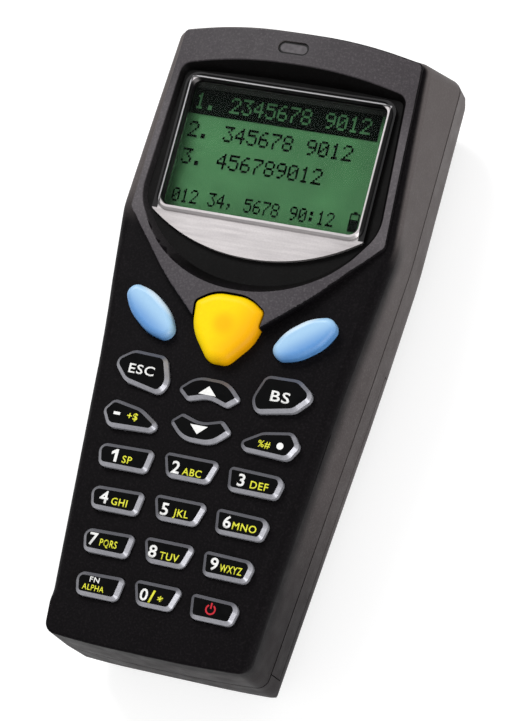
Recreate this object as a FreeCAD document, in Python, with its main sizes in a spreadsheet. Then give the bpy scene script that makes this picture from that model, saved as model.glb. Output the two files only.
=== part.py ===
import FreeCAD, Part
import math
import os
from FreeCAD import Placement, Rotation, Vector

# Handheld data terminal, lying on its back.
# Frame: +Z out of the keypad face, +Y towards the display end, +X to the right of the user.
# The origin is at the bottom centre of the body. Lengths are millimetres.

doc = FreeCAD.newDocument("terminal")
sheet = doc.addObject("Spreadsheet::Sheet", "Sizes")

SIZES = [
    # Overall body
    ("body_length", 124.5, "at the seam between the housings, end to end"),
    ("widest_from_end", 40.3, "display end to the widest corners"),
    ("waist_from_end", 65.6, "display end to the waist"),
    ("seam_head_width", 58.0, "at the seam, across the display end"),
    ("seam_widest_width", 56.2, "at the seam, below the display"),
    ("seam_waist_width", 52.0, "at the seam, at the waist"),
    ("seam_tail_width", 41.2, "at the seam, across the keypad end"),
    ("seam_head_corner", 2.6, "at the seam, plan corners of the display end"),
    ("seam_tail_corner", 2.4, "at the seam, plan corners of the keypad end"),
    ("face_head_width", 48.7, "at the outline height, across the display end"),
    ("face_widest_width", 55.2, "at the outline height, across the corners below the display"),
    ("face_waist_width", 48.2, "at the outline height, at the waist"),
    ("face_tail_width", 39.9, "at the outline height, across the keypad end"),
    ("face_head_corner", 2.3, "at the outline height, plan corners of the display end"),
    ("face_tail_corner", 2.3, "at the outline height, plan corners of the keypad end"),
    ("face_outline_height", 30.0, "level of the face's outline, just above its crown"),
    ("head_flare", 1.75, "display end, from the seam in to the face's outline"),
    ("tail_flare", 0.35, "keypad end, from the seam in to the face's outline"),
    ("head_bow", 1.7, "how far the display end bows out"),
    ("tail_bow", 0.7, "how far the keypad end bows out"),
    ("parting_height", 16.2, "seam between the two housings"),
    ("face_height", 29.3, "crown of the keypad face"),
    ("face_crown_radius", 260.0, "keypad face across its width"),
    ("plateau_rise", 2.4, "plateau's crown above the face's crown"),
    ("plateau_crown_radius", 110.0, "plateau across its width"),
    ("plateau_head_width", 48.4, "plateau at the display end"),
    ("plateau_widest_width", 51.4, "plateau where its sides turn in to the tongue"),
    ("plateau_end_inset", 0.35, "plateau's end in from the face's outline"),
    ("tongue_bend_width", 29.0, "tongue where its sides bend"),
    ("tongue_bend_y", 8.9, "tongue where its sides bend, along the body"),
    ("tongue_tip_width", 10.0, "tongue's tip, under the scan key"),
    ("tongue_tip_y", 0.2, "tongue's tip, along the body"),
    ("shoulder_radius", 2.2, "rounding of the face's long sides and display end"),
    ("tail_edge_radius", 0.5, "rounding of the face's keypad end"),
    ("plateau_edge_radius", 0.5, "rounding of the plateau's rim"),
    ("back_draft", 1.4, "how far the back's sides lean in at the display end"),
    ("head_lean", 7.2, "how far the scan end slopes in from seam to back"),
    ("back_round", 9.5, "rounding of the back along its sides and round the tail"),
    ("wall", 2.0, "both housings and the battery cover"),
    ("seam_groove", 0.5, "width and depth of the shadow line round the seam"),
    # Display
    ("window_width", 39.8, "inside the trim's lip"),
    ("window_top", 49.2, "upper edge of the window from the middle of the body"),
    ("window_bottom", 23.0, "lower edge of the window"),
    ("window_radius", 1.8, "window's corners"),
    ("recess_floor", 27.9, "height of the floor round the trim"),
    ("recess_top_width", 44.0, "recess floor at its upper corners"),
    ("recess_middle_width", 47.0, "recess floor where its sides turn into the round lower edge"),
    ("recess_middle_y", 24.4, "the same turn, along the body"),
    ("recess_bend_width", 35.7, "tangents of the recess floor's lower edge meet here"),
    ("recess_bend_y", 16.7, "the same, along the body"),
    ("recess_low_width", 15.4, "tangents of the lower edge meet here, at its lowest level"),
    ("recess_low_round", 26.0, "rounding of the recess floor's lower edge"),
    ("recess_top", 50.9, "recess floor's upper corners"),
    ("recess_bottom", 10.6, "recess floor's lowest point"),
    ("recess_bow", 0.7, "how far the recess floor's upper edge bows out"),
    ("recess_draft", 32.0, "slope of the recess walls from upright, degrees"),
    ("floor_thickness", 2.0, "recess floor"),
    ("trim_width", 42.6, "silver trim at its foot"),
    ("trim_top", 50.5, "silver trim's upper edge"),
    ("crescent_bottom", 15.4, "lowest point of the silver crescent"),
    ("crescent_corner", 22.2, "height of the crescent's tips along the body"),
    ("trim_plate", 0.9, "thickness of the crescent"),
    ("lip_rise", 0.7, "lip above the crescent"),
    ("lip_width", 0.45, "lip's flat top"),
    ("lens_thickness", 1.3, "display window"),
    ("lens_gap", 0.15, "play round the window and trim"),
    ("panel_thickness", 1.4, "liquid crystal cell"),
    ("panel_margin", 0.35, "cell beyond the window"),
    ("light_width", 6.2, "status light's window"),
    ("light_depth", 2.6, "status light's window along the body"),
    ("light_x", -0.8, "status light across"),
    ("light_y", 57.0, "status light along"),
    # Keys
    ("key_gap", 0.18, "between a key and its hole"),
    ("key_travel", 0.9, "how far a key goes down"),
    ("key_stand", 1.25, "small keys above the face"),
    ("nav_stand", 2.0, "two oval keys above the face"),
    ("scan_stand", 2.9, "scan key above the face"),
    ("key_bevel", 0.7, "slope round the small keys' tops"),
    ("flange_width", 0.55, "flange beyond the cap"),
    ("flange_thickness", 0.8, "flange that keeps a key in"),
    ("row_pitch", 8.15, "between the number rows"),
    ("row_one", -26.7, "centre of the first number row"),
    ("column_one", 13.0, "outer columns' distance from the middle at the first row"),
    ("column_step", 0.53, "outer columns draw in by this for each row"),
    ("number_width", 11.2, "number keys across their tops in the first row"),
    ("number_step", 0.5, "number keys narrow by this for each row"),
    ("number_length", 4.65, "number keys along the body"),
    # Inside
    ("board_bottom", 21.7, "underside of the circuit board"),
    ("board_thickness", 1.2, "circuit board"),
    ("board_gap", 0.6, "board to the inside of the wall"),
    ("mat_clearance", 0.3, "between the silicone mat and a key that is pressed home"),
    ("dome_thickness", 0.3, "dome sheet"),
    ("backlight_thickness", 1.2, "light guide under the cell"),
    ("boss_radius", 2.1, "screw bosses"),
    ("screw_radius", 1.0, "screw shanks"),
    ("screw_head_radius", 1.8, "screw heads"),
    ("screw_head_height", 1.3, "screw heads"),
    ("fit_gap", 0.1, "play of parts that rest on one another"),
    # Battery bay and cover
    ("cell_length", 44.5, "AAA cell"),
    ("cell_diameter", 10.5, "AAA cell"),
    ("cell_gap", 0.6, "between the two cells"),
    ("bay_wall", 1.5, "walls of the battery bay"),
    ("bay_floor", 13.4, "underside of the plate over the cells"),
    ("cover_top", 10.0, "side seam of the battery cover"),
    ("cover_front", 2.2, "front seam of the battery cover"),
    ("cover_end", -58.5, "tail face of the rear housing, inside the cover's end wall"),
    ("cover_gap", 0.2, "play round the cover"),
    ("rail_x", 17.0, "inner edge of the rails that hold the cover"),
    ("rail_length", 38.0, "rails along the body"),
    # Scanner
    ("engine_width", 21.0, "scan engine across"),
    ("engine_depth", 13.5, "scan engine along"),
    ("engine_height", 10.5, "scan engine"),
    ("scan_window_width", 26.0, "tinted window across"),
    ("scan_window_height", 8.6, "tinted window along the slope"),
    ("scan_window_thickness", 1.5, "tinted window"),
]


def fill_sheet():
    for row, (alias, value, note) in enumerate(SIZES, start=1):
        sheet.set("A%d" % row, alias)
        sheet.set("B%d" % row, repr(value))
        sheet.set("C%d" % row, note)
        sheet.setAlias("B%d" % row, alias)
    doc.recompute()


fill_sheet()


def size(alias):
    return float(sheet.get(alias))


def bind(thing, **expressions):
    """Bind properties to cells; a double underscore stands for a dot in the property's path."""
    for path, expression in expressions.items():
        text = expression
        for alias in sorted((row[0] for row in SIZES), key=len, reverse=True):
            text = text.replace("$" + alias, "Sizes." + alias)
        thing.setExpression(path.replace("__", "."), text)
    return thing


# Outlines: lists of (x, y, corner radius), anticlockwise

def corner_data(outline, i):
    """Centre, tangent points and middle of the rounding at corner i, or None at a sharp corner."""
    x, y, radius = outline[i]
    here = Vector(x, y, 0)
    before = Vector(*outline[i - 1][:2], 0) - here
    after = Vector(*outline[(i + 1) % len(outline)][:2], 0) - here
    before.normalize()
    after.normalize()
    half_turn = (math.pi - before.getAngle(after)) / 2
    if radius <= 0 or half_turn < 1e-4:
        return None
    reach = radius * math.tan(half_turn)
    start = here + before * reach
    stop = here + after * reach
    middle_way = before + after
    middle_way.normalize()
    centre = here + middle_way * (radius / math.cos(half_turn))
    middle = centre - middle_way * radius
    return start, middle, stop


def outline_edges(outline):
    """Lines and arcs of a closed outline with rounded corners."""
    corners = [corner_data(outline, i) for i in range(len(outline))]
    edges = []
    for i, corner in enumerate(corners):
        following = corners[(i + 1) % len(corners)]
        here = Vector(*outline[i][:2], 0)
        there = Vector(*outline[(i + 1) % len(outline)][:2], 0)
        if corner:
            edges.append(Part.Arc(corner[0], corner[1], corner[2]))
        start = corner[2] if corner else here
        stop = following[0] if following else there
        if (stop - start).Length > 1e-3:
            edges.append(Part.LineSegment(start, stop))
    return edges


def grown(outline, gap):
    """The outline moved outwards by gap (inwards when gap is negative), its roundings following."""
    moved = []
    count = len(outline)
    for i in range(count):
        x, y, radius = outline[i]
        x0, y0, _ = outline[i - 1]
        x1, y1, _ = outline[(i + 1) % count]
        ax, ay = x - x0, y - y0
        bx, by = x1 - x, y1 - y
        la, lb = math.hypot(ax, ay), math.hypot(bx, by)
        ax, ay, bx, by = ax / la, ay / la, bx / lb, by / lb
        turn = ax * by - ay * bx
        nx, ny = ay + by, -ax - bx
        length = math.hypot(nx, ny)
        nx, ny = nx / length, ny / length
        reach = gap / (nx * ay - ny * ax)
        new_radius = radius + gap if turn > 0 else radius - gap
        moved.append((x + nx * reach, y + ny * reach, max(new_radius, 0.0)))
    return moved


def bevelled(outline):
    """The same outline with a straight bevel in place of each rounding."""
    straight = []
    for i, (x, y, _) in enumerate(outline):
        corner = corner_data(outline, i)
        points = [corner[0], corner[2]] if corner else [Vector(x, y, 0)]
        straight += [(point.x, point.y, 0.0) for point in points]
    return straight


def mirrored(outline):
    return [(-x, y, radius) for x, y, radius in reversed(outline)]


def symmetric(right_half):
    """A whole outline from its right half, listed from bottom to top."""
    left = [(-x, y, radius) for x, y, radius in reversed(right_half) if x > 1e-6]
    return right_half + left


def rectangle(width, bottom, top, radius):
    half = width / 2
    return [(half, bottom, radius), (half, top, radius), (-half, top, radius), (-half, bottom, radius)]


HALF_LENGTH = size("body_length") / 2
WIDEST_Y = HALF_LENGTH - size("widest_from_end")
WAIST_Y = HALF_LENGTH - size("waist_from_end")


def bow_point(half_width, end, bow):
    """The corner whose rounding bows an end out, between the ends of its chord."""
    quarter = half_width / 2
    turn = math.atan(bow / quarter)
    return quarter, end, 0.6 * quarter / math.tan(turn / 2)


def body_outline(level, head_end, tail_end, widest_radius):
    """The body's outline at the seam or at the face, from the four widths of that level."""
    tail, waist, widest, head = (size("%s_%s_width" % (level, place)) / 2
                                 for place in ("tail", "waist", "widest", "head"))
    return symmetric([
        bow_point(tail, tail_end, size("tail_bow")),
        (tail, tail_end + size("tail_bow"), size(level + "_tail_corner")),
        (waist, WAIST_Y, 420.0),
        (widest, WIDEST_Y, widest_radius),
        (head, head_end - size("head_bow"), size(level + "_head_corner")),
        bow_point(head, head_end, size("head_bow")),
    ])


def seam_outline():
    return body_outline("seam", HALF_LENGTH, -HALF_LENGTH, 60.0)


def face_outline():
    return body_outline("face", HALF_LENGTH - size("head_flare"), -HALF_LENGTH + size("tail_flare"), 9.0)


def level_outline(height):
    """The front housing's outline at a height between the seam and the face's outline."""
    seam = size("parting_height")
    share = (height - seam) / (size("face_outline_height") - seam)
    return [tuple(low + share * (high - low) for low, high in zip(below, above))
            for below, above in zip(seam_outline(), face_outline())]


def plateau_outline():
    """Raised head with the tongue that points down between the oval keys."""
    head = size("plateau_head_width") / 2
    bow = size("head_bow")
    top = HALF_LENGTH - size("head_flare") - size("plateau_end_inset") + 0.2
    return symmetric([
        (size("tongue_tip_width") / 2, size("tongue_tip_y"), 3.0),
        (size("tongue_bend_width") / 2, size("tongue_bend_y"), 30.0),
        (size("plateau_widest_width") / 2, WIDEST_Y - 0.2, 1.6),
        (head, top - bow, 1.2),
        bow_point(head, top, bow),
    ])


def recess_outline():
    """Floor of the sunk field round the display: tangents to its round lower edge, and its sides."""
    low_round = size("recess_low_round")
    top_half = size("recess_top_width") / 2
    top = size("recess_top") + size("recess_bow")
    return symmetric([
        (size("recess_low_width") / 2, size("recess_bottom"), low_round),
        (size("recess_bend_width") / 2, size("recess_bend_y"), low_round - 4.0),
        (size("recess_middle_width") / 2, size("recess_middle_y"), 8.0),
        (top_half, size("recess_top"), 1.2),
        bow_point(top_half, top, size("recess_bow")),
    ])


def trim_outline():
    """Foot of the silver trim: a frame that runs out into a crescent below the window."""
    half = size("trim_width") / 2
    tip = size("crescent_corner")
    bottom = size("crescent_bottom")
    knee = half * 0.55
    turn = math.atan((tip - bottom) / (half - knee))
    right = [
        (knee, bottom, 0.97 * knee / math.tan(turn / 2)),
        (half, tip, 0.6),
        (half, size("trim_top"), 2.6),
    ]
    return symmetric(right)


def window_outline():
    return rectangle(size("window_width"), size("window_bottom"), size("window_top"), size("window_radius"))


# Outlines of the keys, right-hand ones; the left-hand ones are their mirrors

def number_key(column, row):
    """Number keys: the middle ones are wider at the top, the outer ones lean with the grip."""
    centre_y = size("row_one") - row * size("row_pitch")
    half_length = size("number_length") / 2
    half = (size("number_width") - row * size("number_step")) / 2
    if column == 0:
        lift = 0.3
        return symmetric([
            (half - 1.5, centre_y + lift - half_length, 1.5),
            (half, centre_y + lift + half_length, 1.0),
        ])
    centre_x = size("column_one") - row * size("column_step")
    outline = [
        (centre_x - half + 0.7, centre_y - half_length, 1.3),
        (centre_x + half - 1.0, centre_y - half_length, 1.3),
        (centre_x + half, centre_y + half_length - 0.3, 1.6),
        (centre_x - half, centre_y + half_length, 0.9),
    ]
    return outline if column > 0 else mirrored(outline)


def corner_key():
    """The large keys beside the arrows."""
    return [
        (9.6, -13.9, 1.7),
        (16.9, -12.4, 3.0),
        (20.2, -8.8, 1.7),
        (16.5, -6.1, 2.8),
        (9.9, -6.3, 1.8),
        (8.1, -11.4, 3.0),
    ]


def side_key():
    """The slim keys beside the lower arrow."""
    return [
        (9.4, -21.2, 1.2),
        (17.9, -21.5, 1.8),
        (19.6, -18.5, 1.3),
        (17.8, -16.0, 1.6),
        (12.0, -17.0, 4.0),
        (7.7, -19.7, 1.1),
    ]


def up_key():
    return symmetric([
        (0.0, -12.7, 5.0),
        (3.9, -13.9, 1.0),
        (6.3, -11.9, 0.8),
        (3.2, -8.9, 5.0),
    ])


def down_key():
    return symmetric([
        (3.0, -21.4, 5.0),
        (6.2, -18.3, 0.8),
        (4.0, -16.3, 1.0),
        (0.0, -17.5, 5.0),
    ])


def scan_key():
    """The large shield-shaped key."""
    return symmetric([
        (1.9, -5.9, 2.2),
        (6.3, -0.4, 9.0),
        (6.9, 5.0, 1.2),
        (3.4, 7.4, 7.0),
    ])


def oval_key():
    """The right-hand slanted oval: an ellipse drawn as eight arcs between its tangents."""
    centre_x, centre_y = 15.4, 1.6
    long_half, short_half = 6.4, 3.05
    slope = math.radians(38.5)
    step = math.pi / 4

    def on_ellipse(angle, stretch=1.0):
        return Vector(long_half * math.cos(angle) * stretch, short_half * math.sin(angle) * stretch, 0)

    points = []
    for i in range(8):
        corner = on_ellipse((i + 0.5) * step, 1 / math.cos(step / 2))
        before = on_ellipse(i * step) - corner
        after = on_ellipse((i + 1) * step) - corner
        half_turn = (math.pi - before.getAngle(after)) / 2
        radius = 0.97 * min(before.Length, after.Length) / math.tan(half_turn)
        points.append((
            centre_x + corner.x * math.cos(slope) - corner.y * math.sin(slope),
            centre_y + corner.x * math.sin(slope) + corner.y * math.cos(slope),
            radius,
        ))
    return points


KEYS = [
    # name, outline, and the cell that says how far it stands up
    ("key_scan", scan_key(), "scan_stand"),
    ("key_oval_left", mirrored(oval_key()), "nav_stand"),
    ("key_oval_right", oval_key(), "nav_stand"),
    ("key_escape", mirrored(corner_key()), "key_stand"),
    ("key_backspace", corner_key(), "key_stand"),
    ("key_up", up_key(), "key_stand"),
    ("key_down", down_key(), "key_stand"),
    ("key_minus", mirrored(side_key()), "key_stand"),
    ("key_point", side_key(), "key_stand"),
]
NUMBER_NAMES = (
    ("key_1", "key_2", "key_3"),
    ("key_4", "key_5", "key_6"),
    ("key_7", "key_8", "key_9"),
    ("key_function", "key_0", "key_power"),
)
for row, names in enumerate(NUMBER_NAMES):
    for column, name in zip((-1, 0, 1), names):
        KEYS.append((name, number_key(column, row), "key_stand"))


# Document helpers

def sketch(name, outlines, height):
    """A sketch parallel to the face at a bound height."""
    made = doc.addObject("Sketcher::SketchObject", name)
    for outline in outlines:
        for edge in outline_edges(outline):
            made.addGeometry(edge, False)
    bind(made, Placement__Base__z=height)
    return made


def prism(name, outlines, bottom, length, taper=None):
    made = doc.addObject("Part::Extrusion", name)
    made.Base = sketch(name + "_sketch", outlines, bottom)
    made.DirMode = "Custom"
    made.Dir = Vector(0, 0, 1)
    made.Solid = True
    bind(made, LengthFwd=length)
    if taper:
        bind(made, TaperAngle=taper)
    return made


def box(name, x, y, z):
    """A box from three pairs of expressions, lowest and highest along each axis."""
    made = doc.addObject("Part::Box", name)
    low = [pair[0] for pair in (x, y, z)]
    high = [pair[1] for pair in (x, y, z)]
    for axis, prop in enumerate(("Length", "Width", "Height")):
        bind(made, **{prop: "(%s) - (%s)" % (high[axis], low[axis])})
        bind(made, **{"Placement__Base__" + "xyz"[axis]: low[axis]})
    return made


def cylinder(name, radius, x, y, bottom, top):
    made = doc.addObject("Part::Cylinder", name)
    bind(made, Radius=radius, Height="(%s) - (%s)" % (top, bottom),
         Placement__Base__x=x, Placement__Base__y=y, Placement__Base__z=bottom)
    return made


def post(name, radius, x, y, bottom, top):
    """An upright eight-sided post or bore for places inside the housings."""
    made = doc.addObject("Part::Prism", name)
    made.Polygon = 8
    bind(made, Circumradius=radius, Height="(%s) - (%s)" % (top, bottom),
         Placement__Base__x=x, Placement__Base__y=y, Placement__Base__z=bottom)
    return made


def lengthwise_cylinder(name, radius, x, z, start, stop):
    made = doc.addObject("Part::Cylinder", name)
    made.Placement = Placement(Vector(0, 0, 0), Rotation(Vector(1, 0, 0), -90))
    bind(made, Radius=radius, Height="(%s) - (%s)" % (stop, start),
         Placement__Base__x=x, Placement__Base__y=start, Placement__Base__z=z)
    return made


def cut(name, base, *tools):
    for i, tool in enumerate(tools):
        made = doc.addObject("Part::Cut", name if i == len(tools) - 1 else "%s_cut_%d" % (name, i))
        made.Base = base
        made.Tool = tool
        base = made
    return base


def fuse(name, *shapes):
    made = doc.addObject("Part::MultiFuse", name)
    made.Shapes = list(shapes)
    made.Refine = True
    return made


def common(name, base, tool):
    made = doc.addObject("Part::Common", name)
    made.Base = base
    made.Tool = tool
    return made


def round_edges(name, base, radius, wanted):
    """Fillet the edges for which wanted(edge) is true."""
    base.recompute(True)
    made = doc.addObject("Part::Fillet", name)
    made.Base = base
    value = size(radius)
    made.Edges = [(i, value, value) for i, edge in enumerate(base.Shape.Edges, start=1) if wanted(edge)]
    return made


def body_pads(name, pads):
    """A PartDesign body of stacked pads: (outlines, bottom, thickness)."""
    body = doc.addObject("PartDesign::Body", name)
    plane = next(item for item in body.Origin.OriginFeatures if item.Role == "XY_Plane")
    for i, (outlines, bottom, thickness) in enumerate(pads):
        drawn = body.newObject("Sketcher::SketchObject", "%s_sketch_%d" % (name, i))
        drawn.AttachmentSupport = [(plane, "")]
        drawn.MapMode = "FlatFace"
        for outline in outlines:
            for edge in outline_edges(outline):
                drawn.addGeometry(edge, False)
        bind(drawn, AttachmentOffset__Base__z=bottom)
        pad = body.newObject("PartDesign::Pad", "%s_pad_%d" % (name, i))
        pad.Profile = drawn
        bind(pad, Length=thickness)
    return body


NODES = []


def keep(thing, node):
    thing.Label = node
    NODES.append(thing)
    return thing


# Hull of the back: ruled through cross-sections that follow the plan outline

def half_width(y, outline):
    """Half the outline's width at y."""
    edges = outline_edges(outline)
    ray = Part.LineSegment(Vector(0.5, y, 0), Vector(200, y, 0)).toShape()
    reach = 0.0
    for edge in edges:
        shape = edge.toShape()
        near = ray.distToShape(shape)
        if near[0] < 1e-6:
            reach = max(reach, near[1][0][1].x)
    return reach


def hull(name, inset):
    """Everything inside the back's outer skin, or inside its inner skin when inset is the wall."""
    side_margin = 4.0
    stations = [
        -HALF_LENGTH + 6, WAIST_Y - 20, WAIST_Y - 5, WAIST_Y + 5,
        WIDEST_Y - 2, WIDEST_Y + 2, HALF_LENGTH - 8,
    ]
    widths = [half_width(y, seam_outline()) for y in stations]
    # The first and last stations carry the sides straight on past the ends.
    slope_tail = (widths[1] - widths[0]) / (stations[1] - stations[0])
    slope_head = (widths[-1] - widths[-2]) / (stations[-1] - stations[-2])
    stations[0] = -HALF_LENGTH - side_margin
    widths[0] = widths[1] + slope_tail * (stations[0] - stations[1])
    stations[-1] = HALF_LENGTH + side_margin
    widths[-1] = widths[-2] + slope_head * (stations[-1] - stations[-2])
    top = size("parting_height") + 6.0
    sections = []
    for i, (y, half) in enumerate(zip(stations, widths)):
        rounding = size("back_round") - inset
        width = half - inset
        draft = size("back_draft") * min(max((y - WAIST_Y) / (HALF_LENGTH - WAIST_Y), 0.0), 1.0)
        # The side profile then cuts a true flat just above these sections' lowest line.
        low = inset - 0.1
        seam = size("parting_height")
        section = doc.addObject("Sketcher::SketchObject", "%s_section_%d" % (name, i))
        for edge in outline_edges(symmetric([
            (width - draft, low, rounding), (width, seam, 0.0), (width, top, 0.0),
        ])):
            section.addGeometry(edge, False)
        section.Placement = Placement(Vector(0, y, 0), Rotation(Vector(1, 0, 0), 90))
        sections.append(section)
    made = doc.addObject("Part::Loft", name + "_loft")
    made.Sections = sections
    made.Solid = True
    made.Ruled = True
    return common(name, made, side_profile(name + "_profile", inset, inset))


def side_profile(name, inset, bottom):
    """The back seen from its side: tail with a round corner, sloped scan end."""
    parting = size("parting_height")
    top = parting + 8.0
    slope_head = size("head_lean") / parting
    outline = [
        (-HALF_LENGTH + inset, bottom, size("back_round") - inset),
        (HALF_LENGTH - inset - slope_head * (parting - bottom), bottom, max(2.5 - inset, 0.0)),
        (HALF_LENGTH - inset, parting, 0.0),
        (HALF_LENGTH - inset, top, 0.0),
        (-HALF_LENGTH + inset, top, 0.0),
    ]
    drawn = doc.addObject("Sketcher::SketchObject", name + "_sketch")
    for edge in outline_edges(outline):
        drawn.addGeometry(edge, False)
    half_span = size("body_length") / 2
    # The sketch's x runs along the body and its y runs up.
    drawn.Placement = Placement(Vector(-half_span, 0, 0), Rotation(Vector(1, 1, 1), 120))
    made = doc.addObject("Part::Extrusion", name)
    made.Base = drawn
    made.DirMode = "Custom"
    made.Dir = Vector(1, 0, 0)
    made.Solid = True
    bind(made, LengthFwd="$body_length")
    return made


def flared_block(name, gap):
    """Ruled from the seam's outline to the face's outline, both moved by gap."""
    low = sketch(name + "_low", [grown(seam_outline(), gap)], "$parting_height")
    high = sketch(name + "_high", [grown(face_outline(), gap)], "$face_outline_height")
    made = doc.addObject("Part::Loft", name)
    made.Sections = [low, high]
    made.Solid = True
    made.Ruled = True
    return made


def round_shoulder(name, base, height):
    """Round the rim above a height, softly along the sides and head and finely across the tail."""
    base.recompute(True)
    soft, fine = size("shoulder_radius"), size("tail_edge_radius")
    tail = -HALF_LENGTH + size("face_tail_corner") + 1.0
    rounded = []
    for i, edge in enumerate(base.Shape.Edges, start=1):
        if edge.BoundBox.ZMin > height:
            ends = [fine if vertex.Point.y < tail - 1.5 else soft for vertex in edge.Vertexes]
            rounded.append((i, ends[0], ends[-1]))
    made = doc.addObject("Part::Fillet", name)
    made.Base = base
    made.Edges = rounded
    return made


# Screws at the head, and plain posts that carry the board over the battery bay

HEAD_SCREWS = [(-23.1, 31.0), (23.1, 31.0), (-20.3, 14.5), (20.3, 14.5)]
BOARD_POSTS = [(-14.0, -50.0), (14.0, -50.0), (-15.0, -20.0), (15.0, -20.0)]


def front_housing():
    crown = lengthwise_cylinder("face_crown", "$face_crown_radius", "0", "$face_height - $face_crown_radius",
                                "-$body_length", "$body_length")
    body = common("front_crowned", flared_block("front_block", 0.0), crown)
    seam = size("parting_height")
    rounded = round_shoulder("front_shoulder", body, seam + 8)
    plateau = prism("plateau_block", [plateau_outline()], "$parting_height + 4",
                    "$face_height + $plateau_rise - $parting_height")
    plateau_crown = lengthwise_cylinder(
        "plateau_crown", "$plateau_crown_radius", "0",
        "$face_height + $plateau_rise - $plateau_crown_radius", "-$body_length", "$body_length")
    plateau = common("plateau_crowned", plateau, plateau_crown)
    plateau = round_edges("plateau_rim", plateau, "plateau_edge_radius",
                          lambda edge: edge.BoundBox.ZMin > seam + 8)
    solid = fuse("front_solid", rounded, plateau)

    # Inside: crowned ceiling under the keys, lower flat ceiling under the display
    ceiling = lengthwise_cylinder("front_ceiling", "$face_crown_radius - $wall", "0",
                                  "$face_height - $face_crown_radius", "-$body_length", "$body_length")
    hollow = common("front_hollow", flared_block("front_hollow_block", -size("wall")), ceiling)
    display_block = box("display_ceiling", ("-$body_length", "$body_length"),
                        ("9.5", "$body_length"),
                        ("$recess_floor - $floor_thickness", "$face_height + 6"))
    hollow = cut("front_cavity", hollow, display_block)

    recess = prism("recess", [recess_outline()], "$recess_floor",
                   "$face_height + $plateau_rise - $recess_floor + 0.5", "$recess_draft")
    window = prism("window_opening", [window_outline()], "$recess_floor - 5", "9")
    holes = prism("key_holes", [grown(outline, size("key_gap")) for _, outline, _ in KEYS],
                  "$face_height - 5", "12")
    light = prism("light_hole", [light_outline(0.0)], "$board_bottom", "14")

    bosses = [front_boss("front_boss_%d" % i, x, y)
              for i, (x, y) in enumerate(HEAD_SCREWS)]
    shell = cut("front_shell", solid, hollow)
    shell = fuse("front_with_bosses", shell, *bosses)
    pilots = [post("front_pilot_%d" % i, "$screw_radius", repr(x), repr(y),
                       "$board_bottom", "$face_height - 4.3")
              for i, (x, y) in enumerate(HEAD_SCREWS)]
    shell = cut("front_open", shell, recess, window, holes, light, seam_ring("front_seam"), *pilots)
    return keep(shell, "front_housing")


def front_boss(name, x, y):
    """A post from the ceiling down to the board."""
    return post(name, "$boss_radius", repr(x), repr(y),
                "$board_bottom + $board_thickness + $fit_gap", "$face_height - 2.9")


def seam_ring(name):
    """The shadow line round the seam between the housings."""
    groove = size("seam_groove")
    outer = seam_outline()
    ring = prism(name + "_outer", [grown(outer, 2.0)], "$parting_height - $seam_groove / 2", "$seam_groove")
    core = prism(name + "_core", [grown(outer, -groove)], "$parting_height - 1", "2")
    return cut(name, ring, core)


def light_outline(gap):
    half = size("light_width") / 2 - gap
    depth = size("light_depth") / 2 - gap
    x, y = size("light_x"), size("light_y")
    radius = depth * 0.98
    return [(x + half, y - depth, radius), (x + half, y + depth, radius),
            (x - half, y + depth, radius), (x - half, y - depth, radius)]


def display():
    window = window_outline()
    lip_base = grown(window, size("lip_width") + size("lip_rise") * 0.6)
    plate = prism("trim_foot", [trim_outline()], "$recess_floor", "$trim_plate")
    lip = prism("trim_lip", [lip_base], "$recess_floor + $trim_plate - 0.2", "$lip_rise + 0.2")
    lip_slope = doc.addObject("Part::Chamfer", "trim_lip_sloped")
    lip_slope.Base = lip
    lip.recompute(True)
    top = size("recess_floor") + size("trim_plate") + size("lip_rise")
    slope = size("lip_rise") * 0.6
    lip_slope.Edges = [(i, slope, slope) for i, edge in enumerate(lip.Shape.Edges, start=1)
                       if edge.BoundBox.ZMin > top - 1e-3]
    frame = fuse("trim_solid", plate, lip_slope)
    opening = prism("trim_opening", [window], "$recess_floor - 1", "6")
    # The crescent's tips end short of the recess walls.
    field = prism("trim_limit", [grown(recess_outline(), -size("lens_gap"))], "$recess_floor", "4",
                  "$recess_draft")
    keep(common("trim", cut("trim_open", frame, opening), field), "display_trim")

    lens = prism("lens", [grown(window, -size("lens_gap"))],
                 "$recess_floor - $floor_thickness + 0.2", "$lens_thickness")
    keep(lens, "display_lens")

    panel = grown(rectangle(size("window_width"), size("window_bottom"), size("window_top"), 0.0),
                  size("panel_margin"))
    keep(body_pads("panel", [([panel], "$board_bottom + $board_thickness + $backlight_thickness"
                              " + 2 * $fit_gap", "$panel_thickness")]), "lcd_panel")
    guide = grown(panel, 0.3)
    keep(body_pads("guide", [([guide], "$board_bottom + $board_thickness + $fit_gap",
                              "$backlight_thickness")]), "lcd_backlight")

    pipe = prism("pipe", [light_outline(size("fit_gap"))], "$board_bottom + $board_thickness + $fit_gap",
                 "$face_height + $plateau_rise - $board_bottom - $board_thickness - 0.5")
    keep(pipe, "status_light_lens")


FLANGE_TOP = "$face_height - $wall - 1.0"


def keys():
    for name, outline, stand in KEYS:
        flange = bevelled(grown(outline, size("flange_width")))
        body = body_pads(name + "_body", [
            ([flange], FLANGE_TOP + " - $flange_thickness", "$flange_thickness"),
            ([outline], FLANGE_TOP, "$wall + 1.0 + $" + stand),
        ])
        body.recompute(True)
        top = size("face_height") + size(stand)
        pad = body.Tip
        rim = ["Edge%d" % i for i, edge in enumerate(pad.Shape.Edges, start=1)
               if edge.BoundBox.ZMin > top - 1e-3]
        if stand == "key_stand":
            finish = body.newObject("PartDesign::Chamfer", name + "_bevel")
            finish.Base = (pad, rim)
            bind(finish, Size="$key_bevel")
        else:
            finish = body.newObject("PartDesign::Fillet", name + "_crown")
            finish.Base = (pad, rim)
            bind(finish, Radius="$" + stand + " * 0.6")
        body.Tip = finish
        keep(body, name)


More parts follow.
